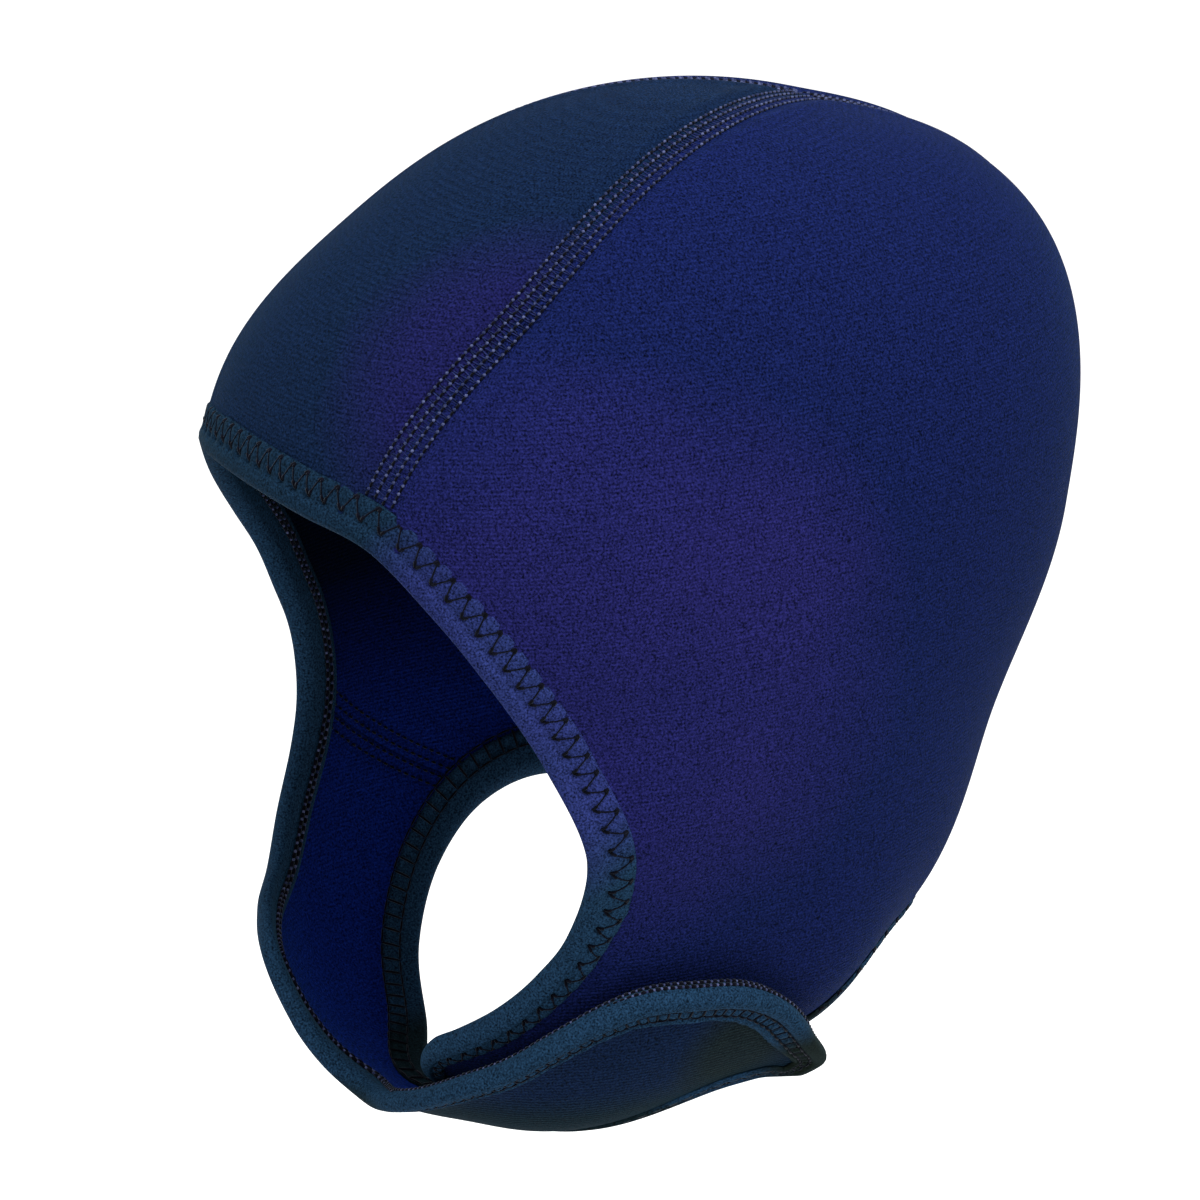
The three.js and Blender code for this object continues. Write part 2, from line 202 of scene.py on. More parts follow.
RUN_OF_CONTROL = np.array([name for name, run in EDGE.items() for _ in run])
START = {name: int(np.argmax(RUN_OF_CONTROL == name)) for name in EDGE}
FACE_RUNS = ("forehead", "leftFace", "strapFront", "rightFace")
NECK_RUNS = ("leftNeckFront", "leftNeckBack", "rightNeck", "strapBack")
LEFT_RUNS = ("leftFace", "leftNeckFront", "leftNeckBack")
STRAP_RUNS = ("strapBack", "strapFront")

# Looks, with centres, reaches, heights and pitch in metres of the frame
WHITE = (1, 1, 1)
SPECULAR = 0.015
SHEEN_ROUGHNESS = 0.45
SPECKLE_RANGE = (0.12, 1.82)  # darkest and lightest of the knit, as shares of its colour
DRIFT = 0.9  # how much noise moves the border between two hues
COURSE_PITCH = 0.0009
WAVE_LENGTH = 0.31416  # of a wave texture whose scale is 1
# Each hue drifts from a near colour at its centre to a far one past its reach: painted sheen and shade
# on panels, crown and tape, and a painted shadow under the strap's lip
PANEL_HUE = {"centre": (0.07, -0.035, -0.105), "reach": (0.03, 0.11)}
CROWN_HUE = {"centre": (0.06, -0.055, -0.035), "reach": (0.02, 0.078)}
STRAP_SHADOW = {"centre": (0.062, -0.004, -0.199), "reach": (0.006, 0.03)}
TAPE_HUE = {"centre": (0.062, -0.06, -0.106), "reach": (0.03, 0.066)}
# Painted shade at the tape's tail tip; the heights bound painted shade on the tape's underside, up
# into the lining's crown and on the strap's underside, and the tape's darker forehead
TAPE_TIP_SHADE = {"centre": (0.06, 0.02, -0.207), "reach": (0.01, 0.021)}
TAPE_SHADE_HEIGHTS = (-0.222, -0.062)
LINING_SHADE_HEIGHTS = (-0.2, -0.1)
STRAP_SHADE_HEIGHTS = (-0.226, -0.2)

# View of the photograph: distance and offsets in millimetres, focal length in pixels of its frame
AZIMUTH, ELEVATION, ROLL_OF_VIEW = (math.radians(a) for a in (61.0, 19.5, -1.7))
DISTANCE = 1400.0
FOCAL_PIXELS = 6160.0
PHOTO_PIXELS = 1200
SENSOR = 36.0
OFFSET = (1.5, 15.5)

# Studio, in metres and watts
FLOOR_HALF = 40.0
FLOOR_DROP = 0.25  # from the lowest point of the part
LIGHT_TARGET = (0, 0, -0.09)

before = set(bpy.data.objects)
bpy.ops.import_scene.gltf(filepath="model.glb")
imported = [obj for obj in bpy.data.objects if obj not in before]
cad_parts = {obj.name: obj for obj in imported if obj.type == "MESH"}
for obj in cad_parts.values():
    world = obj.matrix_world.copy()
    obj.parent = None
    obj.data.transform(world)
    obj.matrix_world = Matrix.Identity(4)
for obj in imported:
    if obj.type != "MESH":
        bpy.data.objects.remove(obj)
cad_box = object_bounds()


# Small helpers

def smooth(a, b, x):
    """0 at a, 1 at b, and a smooth change between."""
    t = np.clip((x - a) / (b - a), 0, 1)
    return t * t * (3 - 2 * t)


def bell(x, height, width):
    """The height at 0, with a smooth fall to both sides."""
    return height * np.exp(-(x / width) ** 2)


def unit(v):
    return v / np.linalg.norm(v, axis=-1, keepdims=True)


def triangle_wave(along, pitch):
    """0 at each whole pitch and 1 half way between."""
    return 1 - np.abs(2 * np.mod(along / pitch, 1) - 1)


def distance_to(points, line):
    """Distance of each point to the nearest sample of a line."""
    flat = points.reshape(-1, 3)
    nearest = np.empty(len(flat))
    for i in range(0, len(flat), CHUNK):
        part = flat[i:i + CHUNK]
        square = (part ** 2).sum(1)[:, None] - 2 * part @ line.T + (line ** 2).sum(1)
        nearest[i:i + CHUNK] = np.sqrt(np.maximum(square.min(1), 0))
    return nearest.reshape(points.shape[:-1])


def steps_of(points):
    """Distances between the points of a line that follow each other."""
    return np.linalg.norm(np.diff(points, axis=0), axis=1)


def by_length(points):
    """A list of points as a function of the share of its length."""
    lengths = np.concatenate([[0], np.cumsum(steps_of(points))])
    lengths /= lengths[-1]
    return lambda share: np.stack([np.interp(share, lengths, points[:, k]) for k in range(3)], -1)


# Head form and the pieces' stand-off from it

def middle_radius(angle):
    """Radius of the form in its middle plane, at an angle from the front over the crown."""
    count = len(MIDDLE_RADII)
    place = np.mod(angle, 2 * math.pi) / (2 * math.pi) * count
    i = np.floor(place).astype(int)
    f = place - i
    a, b, c, d = (MIDDLE_RADII[(i + k) % count] for k in (-1, 0, 1, 2))
    square = 2 * a - 5 * b + 4 * c - d
    cube = 3 * b - a - 3 * c + d
    return 0.5 * (2 * b + (c - a) * f + square * f ** 2 + cube * f ** 3)


def on_form(p, depth=0.0):
    """Points of the form, grown by depth, in the directions of p."""
    direction = p / np.linalg.norm(p, axis=-1, keepdims=True)
    x, y, z = np.moveaxis(direction, -1, 0)
    across = (np.abs(x) / (HALF_WIDTH + depth)) ** FULLNESS
    along = (np.hypot(y, z) / (middle_radius(np.arctan2(z, -y)) + depth)) ** FULLNESS
    return direction * ((across + along) ** (-1 / FULLNESS))[..., None]


def at_angle(x, angle):
    """Points of the form at a distance x from the middle plane and an angle from the front."""
    rho = middle_radius(angle) * (1 - (np.abs(x) / HALF_WIDTH) ** FULLNESS) ** (1 / FULLNESS)
    return np.stack([x, -rho * np.cos(angle), rho * np.sin(angle)], -1)


def angle_of(p):
    return math.atan2(p[2], -p[1]) % (2 * math.pi)


def zero(p):
    """No lift, for cloth whose outer face lies on the form, and no relief."""
    return np.zeros(p.shape[:-1])


def tail_lift(p):
    """Stand-off of the strap, which leaves the form along a tilted plane."""
    ramp = (p @ TAIL_TILT - TAIL_START) / LIFT_SOFTNESS
    return LIFT_SOFTNESS * np.logaddexp(0, ramp)


def left_lift(p):
    """Stand-off of the left panel, which goes under the tail."""
    under_tail = smooth(*LAP_HEIGHTS, p[..., 2]) * smooth(*LAP_DEPTHS, p[..., 1])
    return under_tail * (tail_lift(p) - LAP)


def strap_lift(p):
    """The tail's lift with the lip along the strap's front edge."""
    near = 1 - np.clip(distance_to(p, lip_line) / LIP_REACH, 0, 1)
    return tail_lift(p) + LIP_LIFT * smooth(*LIP_FADE, p[..., 0]) * near ** 2


def on_piece(p, lift, depth=0.0):
    """Points raised by depth from a piece's outer face, in the directions of p."""
    return on_form(p, lift(on_form(p)) + depth)


# Edge of cap and strap, by place: 0 is its first control point, 1 the second

def run_at(places):
    """Name of the run that each place of the edge lies in."""
    return RUN_OF_CONTROL[np.floor(np.mod(places, COUNT) + TINY).astype(int) % COUNT]


def edge_control(places):
    """Points of the centripetal curve through the control points."""
    places = np.asarray(places, float)
    i = np.floor(places + TINY).astype(int)
    f = (places - i)[:, None]
    a, b, c, d = (CONTROL[(i + k) % COUNT] for k in (-1, 0, 1, 2))
    root = [np.sqrt(np.linalg.norm(q - p, axis=1))[:, None] for p, q in ((a, b), (b, c), (c, d))]
    t0 = np.zeros_like(root[0])
    t1 = t0 + root[0]
    t2 = t1 + root[1]
    t3 = t2 + root[2]
    t = t1 + (t2 - t1) * f

    def mix(p, q, lo, hi):
        return p + (q - p) * (t - lo) / (hi - lo)

    ab, bc, cd = mix(a, b, t0, t1), mix(b, c, t1, t2), mix(c, d, t2, t3)
    return mix(mix(ab, bc, t0, t2), mix(bc, cd, t1, t3), t1, t2)


lip_places = np.linspace(0, LIP_CONTROLS, EDGE_SAMPLES) + START["strapFront"] - 0.5
lip_line = on_form(edge_control(lip_places))


def edge_lift(places, p):
    """Lift of the piece that each place of the edge bounds."""
    runs = run_at(places)
    lift = np.zeros(len(p))
    for group, function in ((LEFT_RUNS, left_lift), (STRAP_RUNS, strap_lift)):
        inside = np.isin(runs, group)
        lift[inside] = function(p[inside])
    return lift


def on_edge(places, p, depth=0.0):
    """The same for the piece that each place of the edge bounds."""
    return on_form(p, edge_lift(places, on_form(p)) + depth)


def edge_frames(places):
    """Point, way out of the cloth face and way into the cloth at places of the edge."""
    point = on_edge(places, edge_control(places))
    ahead, behind = (on_edge(places, edge_control(places + s)) for s in (PLACE_STEP, -PLACE_STEP))
    tangent = unit(ahead - behind)
    side = unit(np.stack([point[:, 1], -point[:, 0], np.zeros(len(point))], 1))
    up = unit(np.cross(side, point))
    to_side, upward = (
        on_edge(places, point + SLOPE_STEP * way) - on_edge(places, point - SLOPE_STEP * way)
        for way in (side, up)
    )
    out = unit(np.cross(to_side, upward))
    out *= np.sign((out * point).sum(1, keepdims=True))
    return point, out, unit(np.cross(out, tangent))


def cut_edge(first, last):
    """Cut edge of the cloth between two places, as a function of the share of its length."""
    point, _, inward = edge_frames(np.linspace(first, last, EDGE_SAMPLES))
    return by_length(point + EDGE_INSET * inward)


# Patches of the cloth pieces

def strip_half_width(degrees):
    taper = np.minimum(np.abs(degrees - WIDEST_ANGLE) / TAPER_ANGLE, 1)
    return STRIP_HALF_WIDTH * (1 - taper ** TAPER_POWER)


def seam_points(side, first, last):
    """Seam of the crown strip between two angles; side is 1 for the left and -1 for the right."""
    angle = np.linspace(first, last, SEAM_SAMPLES)
    return at_angle(side * strip_half_width(np.degrees(angle)), angle)


def coons(top, bottom, left, right):
    """Patch between four edge curves that share their corners."""
    def patch(u, v):
        p = top(u) * (1 - v)[..., None] + bottom(u) * v[..., None]
        p += left(v) * (1 - u)[..., None] + right(v) * u[..., None]
        for curve, share, weight in (
            (top, 0.0, (1 - u) * (1 - v)), (top, 1.0, u * (1 - v)),
            (bottom, 0.0, (1 - u) * v), (bottom, 1.0, u * v),
        ):
            p -= curve(np.full(u.shape, share)) * weight[..., None]
        return p
    return patch


def straight(first, last):
    """The straight curve between two points."""
    return lambda share: first + (last - first) * share[..., None]


def from_corner(corner, curve):
    """The same curve with its first point moved to a given corner."""
    shift = corner - curve(0.0)
    return lambda share: curve(share) + shift * ((1 - share) ** CORNER_FADE)[..., None]


def crown_patch():
    front = cut_edge(START["forehead"], START["leftFace"])
    last = math.radians(STRIP_END_ANGLE)
    right = by_length(seam_points(-1, angle_of(front(0.0)), last))
    left = by_length(seam_points(1, angle_of(front(1.0)), last))
    corner_to_corner = straight(right(0.0), left(0.0))

    def face(v):
        near_corner = (np.abs(2 * v - 1) ** CORNER_BLEND)[..., None]
        return front(v) * (1 - near_corner) + corner_to_corner(v) * near_corner

    return coons(right, left, face, straight(right(1.0), left(1.0)))


def left_patch():
    face = cut_edge(START["leftFace"], START["leftNeckFront"])
    neck_front = cut_edge(START["leftNeckFront"], START["leftNeckBack"])
    neck_back = cut_edge(START["rightNeck"], START["leftNeckBack"])
    seam = by_length(seam_points(1, angle_of(face(0.0)), angle_of(neck_back(0.0))))
    return coons(seam, neck_front, from_corner(seam(0.0), face), from_corner(seam(1.0), neck_back))


def right_patch():
    face = cut_edge(COUNT, START["rightFace"])
    neck = cut_edge(START["rightNeck"], START["strapBack"])
    seam = by_length(seam_points(-1, angle_of(face(0.0)), angle_of(neck(0.0))))
    left, right = from_corner(seam(0.0), face), from_corner(seam(1.0), neck)
    end = np.ones(1)
    return coons(seam, straight(left(end), right(end)), left, right)


def strap_patch():
    tip = START["strapFront"] - 0.5
    front = cut_edge(START["rightFace"], tip + STRAP_END_HALF)
    back = cut_edge(START["strapBack"], tip - STRAP_END_HALF)
    return lambda u, v: front(u) * (1 - v)[..., None] + back(u) * v[..., None]


# Mesh makers

def in_frame(points):
    """Points about the middle of the form, in millimetres, to the part's frame in metres."""
    return (points.reshape(-1, 3) + [0, 0, FORM_RISE]) * MM


def mesh_object(name, points, faces, looks):
    mesh = bpy.data.meshes.new(name)
    mesh.from_pydata(points, [], faces)
    for look in looks:
        mesh.materials.append(look)
    made = bpy.data.objects.new(name, mesh)
    bpy.context.scene.collection.objects.link(made)
    return made


def new_piece(name, points, faces, looks, slot, look_of_face=None):
    piece = mesh_object(name, in_frame(points).tolist(), faces.tolist(), looks)
    piece.data.shade_smooth()
    if look_of_face is not None:
        piece.data.polygons.foreach_set("material_index", look_of_face)
    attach(piece, "root")
    return piece


def grid_faces(rows, columns, offset=0, flip=False):
    """Quads of a grid of rows by columns points."""
    j, i = np.meshgrid(np.arange(rows - 1), np.arange(columns - 1), indexing="ij")
    a = offset + (j * columns + i).ravel()
    quads = np.stack([a, a + 1, a + columns + 1, a + columns], 1)
    return quads[:, ::-1] if flip else quads


def rim_faces(rows, columns):
    """Quads that join the borders of an outer and an inner grid."""
    half = rows * columns
    index = np.arange(half).reshape(rows, columns)
    rim = np.concatenate([index[0, :-1], index[:-1, -1], index[-1, :0:-1], index[:0:-1, 0]])
    after = np.roll(rim, -1)
    return np.stack([rim, after, after + half, rim + half], 1)


def facing_out(points, faces):
    """The same faces, turned so that the closed body faces outward."""
    corners = points.reshape(-1, 3)[faces]
    volume = sum(
        (corners[:, 0] * np.cross(corners[:, k], corners[:, k + 1])).sum() for k in (1, 2)
    )
    return faces[:, ::-1] if volume < 0 else faces


def cloth(name, patch, lift, relief, looks, slot, outer=0.0, inner=-WALL):
    """Closed sheet of cloth over a patch; the looks are those of its outside and its inside."""
    columns, rows = CLOTH[name][0]
    v, u = np.meshgrid(np.linspace(0, 1, rows + 1), np.linspace(0, 1, columns + 1), indexing="ij")
    base = on_piece(patch(u, v), lift)
    outside = on_piece(base, lift, outer + relief(base))
    inside = on_piece(base, lift, inner - 0.5 * relief(base))
    points = np.concatenate([outside.reshape(-1, 3), inside.reshape(-1, 3)])
    half = (rows + 1) * (columns + 1)
    faces = np.concatenate([
        grid_faces(rows + 1, columns + 1, flip=True),
        rim_faces(rows + 1, columns + 1),
        grid_faces(rows + 1, columns + 1, offset=half),
    ])
    look_of_face = np.zeros(len(faces), int)
    look_of_face[-rows * columns:] = len(looks) - 1
    return new_piece(name, points, facing_out(points, faces), looks, slot, look_of_face)


def tubes(paths, radius):
    """Points and faces of closed threads along paths, each an (n, 3) list of points."""
    all_points = []
    all_faces = []
    offset = 0
    sides = THREAD_SIDES
    turn = np.linspace(0, 2 * math.pi, sides, endpoint=False)
    for path in paths:
        tangent = unit(np.gradient(path, axis=0))
        side = unit(np.cross(tangent, path + TINY))
        up = np.cross(side, tangent)
        taper = np.ones(len(path))
        taper[[0, -1]] = THREAD_END
        ring = side[:, None] * np.cos(turn)[:, None] + up[:, None] * np.sin(turn)[:, None]
        points = path[:, None] + ring * (radius * taper)[:, None, None]
        i, k = np.meshgrid(np.arange(len(path) - 1), np.arange(sides), indexing="ij")
        a = offset + (i * sides + k).ravel()
        b = offset + (i * sides + (k + 1) % sides).ravel()
        all_faces.append(np.stack([a, b, b + sides, a + sides], 1))
        all_points.append(points.reshape(-1, 3))
        offset += len(path) * sides
    return np.concatenate(all_points), np.concatenate(all_faces)


def threads(kind, paths, look, slot="edge_binding", prefix=""):
    points, faces = tubes(paths, THREAD_RADII[kind])
    new_piece(prefix + kind, points, faces, [look], slot)


# Tape round the edge

class Tape:
    """The edge by length: frames at any length along it, and how long the tape's legs are there."""

    def __init__(self):
        places = np.arange(0, COUNT, TABLE_STEP)
        point, _, inward = edge_frames(places)
        self.point, self.inward = (np.concatenate([a, a[:1]]) for a in (point, inward))
        self.lengths = np.concatenate([[0], np.cumsum(steps_of(self.point))])
        self.total = self.lengths[-1]
        self.places = np.append(places, COUNT)
        self.coarse = np.arange(0, self.total, LIMIT_STEP)
        self.limits = self.leg_limits(self.coarse)

    def leg_limits(self, along):
        """The longest leg that fits at lengths along the edge."""
        point = self.sample(along, self.point)
        gap = np.linalg.norm(point[:, None] - point[None], axis=2)
        apart = np.abs(along[:, None] - along[None])
        apart = np.minimum(apart, self.total - apart)
        return LEG_SHARE * np.where(apart > FOLD_SEPARATION, gap, np.inf).min(1)

    def sample(self, along, table):
        along = np.mod(along, self.total)
        return np.stack([np.interp(along, self.lengths, table[:, k]) for k in range(3)], -1)

    def place(self, along):
        return np.interp(np.mod(along, self.total), self.lengths, self.places)

    def length_of(self, place):
        return float(np.interp(place, self.places, self.lengths))

    def pitch(self, wanted):
        """The nearest pitch that goes round the whole edge in whole stitches."""
        return self.total / round(self.total / wanted)

    def is_in(self, runs, along):
        """Whether a length along the edge lies in one of some runs."""
        return run_at(self.place(along)) in runs

    def on_strap(self, along):
        """1 on the strap from its tail to the chin, 0 on the cap, with a short change between."""
        first = self.length_of(START["strapBack"] + 3)
        last = self.length_of(START["strapFront"] + LIP_CONTROLS - 2)
        along = np.mod(along, self.total)
        return smooth(first - STRAP_FADE, first, along) * (1 - smooth(last, last + STRAP_FADE, along))

    def on_lip(self, along):
        """1 on the strap's lip, where its inside turns up, with a slow change into the rest."""
        first = self.length_of(START["strapFront"] - 1)
        last = self.length_of(START["strapFront"] + LIP_CONTROLS - 3)
        along = np.mod(along, self.total)
        grown = smooth(first, first + LIP_START_FADE, along)
        return grown * (1 - smooth(last, last + LIP_END_FADE, along))

    def squeezed(self, along, s, leg):
        """Distance from the fold after the leg is shortened where cap or strap is narrow."""
        limit = np.interp(np.mod(along, self.total), self.coarse, self.limits)
        share = np.minimum(1, limit / leg)
        return s * share + FOLD_RADIUS * (1 - share)

    def surface(self, along, s, h):
        """Points s from the fold into the cloth and h out from the middle of the cloth."""
        along, s, h = np.broadcast_arrays(along, s, h)
        flat = along.ravel()
        inward = unit(self.sample(flat, self.inward))
        point = self.sample(flat, self.point) + inward * s.ravel()[:, None]
        return on_edge(self.place(flat), point, h.ravel() - WALL / 2).reshape(*along.shape, 3)

    def on_leg(self, along, s, h, leg):
        """The same on a leg of the tape, with s as it is before the leg is shortened."""
        return self.surface(along, self.squeezed(along, s, leg), h)


def from_whole(along, pitch):
    """Distance along the edge from the nearest whole pitch, with its sign."""
    return (np.mod(along / pitch + 0.5, 1) - 0.5) * pitch


def dimple(along, across, depth, width_along, width_across):
    return bell(along, depth, width_along) * bell(across, 1, width_across)


def zigzag_relief(along, s, pitch):
    """Depth of the zigzag stitch: dimples at its needles and a groove along its thread."""
    low, high = ZIGZAG_SPAN
    outer = dimple(from_whole(along, pitch), s - low, *OUTER_DIMPLE)
    inner = dimple(from_whole(along + pitch / 2, pitch), s - high, *INNER_DIMPLE)
    thread_line = low + (high - low) * triangle_wave(along, pitch)
    slope = pitch / 2 / math.hypot(pitch / 2, high - low)
    groove = bell((s - thread_line) * slope, *ZIGZAG_GROOVE)
    return outer + inner + groove * smooth(low - ZIGZAG_FADE, low, s)


def ladder_relief(along, s, pitch):
    """Depth of the ladder stitch: a groove under each rung and along both rails."""
    low, high = LADDER_SPAN
    between_rails = smooth(low - RUNG_FADE, low, s) * (1 - smooth(high, high + RUNG_FADE, s))
    rung = bell(from_whole(along, pitch), *RUNG_GROOVE) * between_rails
    return np.maximum(rung, bell(s - low, *RAIL_GROOVE) + bell(s - high, *RAIL_GROOVE))


def tape_height(tape, along, s):
    """Outer face of the tape above the middle of the cloth, with its roll and its stitch."""
    roll = bell(s - ROLL_LINE, *ROLL)
    on_strap = tape.on_strap(along)
    stitch = ladder_relief(along, s, tape.pitch(LADDER_PITCH)) * on_strap
    stitch = stitch + zigzag_relief(along, s, tape.pitch(ZIGZAG_PITCH)) * (1 - on_strap)
    tuck = OUTER_TUCK * smooth(OUTER_LEG - OUTER_TUCK_LENGTH, OUTER_LEG, s)
    return FOLD_RADIUS + roll - stitch - tuck


def fold_point(radius, turn):
    """Point (s, h) at a turn round the middle of the fold, from the outside."""
    return FOLD_RADIUS - radius * math.sin(turn), radius * math.cos(turn)


def tape_section(tape, along):
    """Rows of (s, h) points round the tape's section, for each length along the edge."""
    inner = WALL / 2 + TAPE_LIFT
    rows = []
    for s in np.linspace(OUTER_LEG, FOLD_RADIUS, SECTION_POINTS["outer leg"]):
        rows.append((tape.squeezed(along, s, OUTER_LEG), tape_height(tape, along, s)))
    for turn in np.linspace(0, math.pi, SECTION_POINTS["fold"])[1:]:
        rows.append(fold_point(FOLD_RADIUS + bell(turn - ROLL_TURN, *ROUND_FOLD), turn))
    for s in np.linspace(FOLD_RADIUS, INNER_LEG, SECTION_POINTS["inner leg"])[1:]:
        tuck = INNER_TUCK * smooth(INNER_LEG - INNER_TUCK_LENGTH, INNER_LEG, s)
        crease = bell(s - np.mean(CHAIN_LINES), *CREASE)
        rows.append((tape.squeezed(along, s, INNER_LEG), -FOLD_RADIUS + tuck + crease))
    rows.append((tape.squeezed(along, INNER_LEG, INNER_LEG), -inner))
    for turn in np.linspace(math.pi, 0, SECTION_POINTS["inside"]):
        rows.append(fold_point(inner, turn))
    rows.append((tape.squeezed(along, OUTER_LEG, OUTER_LEG), inner))
    return [np.stack([np.broadcast_to(row[k], along.shape) for row in rows], 1) for k in (0, 1)]


def edge_tape(tape, material):
    """The folded tape as one closed loop."""
    count = round(tape.total / STATION_STEP)
    along = np.arange(count) * tape.total / count
    s, h = tape_section(tape, along)
    points = tape.surface(along[:, None], s, h)
    ring = s.shape[1]
    i, k = np.meshgrid(np.arange(count), np.arange(ring), indexing="ij")
    here, after = i * ring, (i + 1) % count * ring
    corners = (here + k, here + (k + 1) % ring, after + (k + 1) % ring, after + k)
    faces = np.stack([corner.ravel() for corner in corners], 1)
    return new_piece("folded_tape", points, facing_out(points, faces), [material], "edge_binding")


def zigzag_paths(tape, first, last, rise):
    """The zigzag outside the cap's tape, between two shares of each leg from its outer needle."""
    pitch = tape.pitch(ZIGZAG_PITCH)
    low, high = ZIGZAG_SPAN
    from_outer = np.linspace(first, last, PATH_POINTS["zigzag"])
    s = low + (high - low) * from_outer
    paths = []
    for k in range(round(tape.total / pitch) * 2):
        share = from_outer if k % 2 == 0 else 1 - from_outer
        along = (k + share) * pitch / 2
        if tape.on_strap(along[0]) > 0.5:
            continue
        paths.append(tape.on_leg(along, s, tape_height(tape, along, s) + rise, OUTER_LEG))
    return paths


def stitches(tape, pitch, from_middle, shown, shift=0.0):
    """Each stitch of a row as lengths along the edge, where shown says so."""
    pitch = tape.pitch(pitch)
    for middle in np.arange(round(tape.total / pitch)) * pitch + shift:
        along = middle + from_middle
        if shown(along[0]):
            yield along


def rung_paths(tape, outside, shown):
    """The rungs of the ladder stitch on one side of the tape, where shown says so."""
    low, high = LADDER_SPAN
    share = np.linspace(0, 1, PATH_POINTS["rung"])
    s = low + (high - low) * share
    inside = -(FOLD_RADIUS + INSIDE_RUNG_RISE + INSIDE_RUNG_ARCH * np.sin(math.pi * share))
    paths = []
    for along in stitches(tape, LADDER_PITCH, np.zeros(len(share)), shown):
        h = tape_height(tape, along, s) + LADDER_RISE if outside else inside
        paths.append(tape.on_leg(along, s, h, OUTER_LEG if outside else INNER_LEG))
    return paths


def inside_line(tape, along, line, rise):
    """Section of the tape's inner leg at a distance from the fold, moved round it on the lip."""
    radius = FOLD_RADIUS
    from_bend = line - radius - CHAIN_TURN_UP * tape.on_lip(along)
    turn = np.clip(-from_bend / radius, 0, math.pi / 2)
    s = radius - (radius + rise) * np.sin(turn) + np.maximum(from_bend, 0)
    return s, -(radius + rise) * np.cos(turn)


def running_paths(tape, line, pitch, length, outside, shown, shift):
    """A row of short stitches at a distance from the fold, where shown says so."""
    share = np.linspace(-0.5, 0.5, PATH_POINTS["running"])
    arch = STITCH_ARCH * np.cos(math.pi * share)
    paths = []
    for along in stitches(tape, pitch, share * length, shown, shift):
        if outside:
            h = tape_height(tape, along, line) + LADDER_RISE + arch
            paths.append(tape.on_leg(along, line, h, OUTER_LEG))
        else:
            s, h = inside_line(tape, along, line, INSIDE_RISE + arch)
            paths.append(tape.on_leg(along, s, h, INNER_LEG))
    return paths


# Flatlock seams

def across_seam(curve, share):
    """Points of a seam line on the form and the ways across it."""
    point = curve(share)
    tangent = unit(curve(share + TANGENT_STEP) - curve(share - TANGENT_STEP))
    return point, unit(np.cross(tangent, point))


def seam_stitches(line, depth, length, shift=0.0):
    """Rows of short stitches beside a seam line, arched away from the middle of the cloth."""
    curve = by_length(line)
    total = steps_of(line).sum()
    share = np.linspace(-0.5, 0.5, PATH_POINTS["seam"])
    arch = STITCH_ARCH * np.cos(math.pi * share) * (1 if depth > -WALL / 2 else -1)
    middles = np.arange(STITCH_PITCH, total - STITCH_PITCH, STITCH_PITCH) + shift
    paths = []
    for row, offset in enumerate(STITCH_ROWS):
        for middle in middles + ROW_SHIFT * (row % 2):
            point, across = across_seam(curve, (middle + share * length) / total)
            paths.append(on_form(point + offset * across, depth + arch))
    return paths


def looper_path(line, depth):
    """The looper thread that crosses a flatlock seam from side to side."""
    total = steps_of(line).sum()
    count = int(total / STITCH_PITCH) * PATH_POINTS["looper"]
    along = np.linspace(STITCH_PITCH, total - STITCH_PITCH, count)
    point, across = across_seam(by_length(line), along / total)
    offset = LOOPER_HALF * (2 * triangle_wave(along, STITCH_PITCH) - 1)
    return on_form(point + offset[:, None] * across, depth)


# Materials

